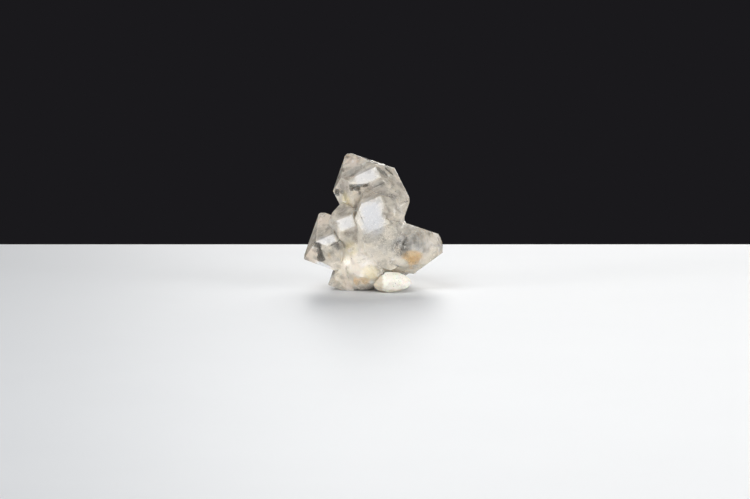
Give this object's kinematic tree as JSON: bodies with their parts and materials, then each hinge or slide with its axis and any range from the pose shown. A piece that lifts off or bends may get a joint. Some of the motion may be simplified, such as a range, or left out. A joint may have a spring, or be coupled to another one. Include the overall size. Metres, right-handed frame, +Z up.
{
  "type": "double terminated quartz cluster",
  "caption": "Free-standing cluster of milky-clear quartz crystals with points at both ends, grown together nearly parallel, with a white matrix lump at its foot.",
  "frame": {"origin": "middle of the footprint, on the surface that the cluster stands on", "axes": "+Z up, front of the cluster towards -Y, +X to the right seen from the front"},
  "size_m": [0.0346, 0.0294, 0.0323],
  "materials": {
    "quartz": "clear to milky beige-grey quartz with bright natural faces",
    "matrix": "matt, lumpy cream-white with fine dark specks",
    "veil": "white healed cracks and milky flecks inside the quartz",
    "iron_stain": "orange-tan earthy staining inside the quartz",
    "dark_grain": "small dark needles and grains inside the quartz"
  },
  "bodies": {
    "root": {"quartz_cluster": "quartz", "matrix_lump": "matrix"}
  },
  "joints": []
}
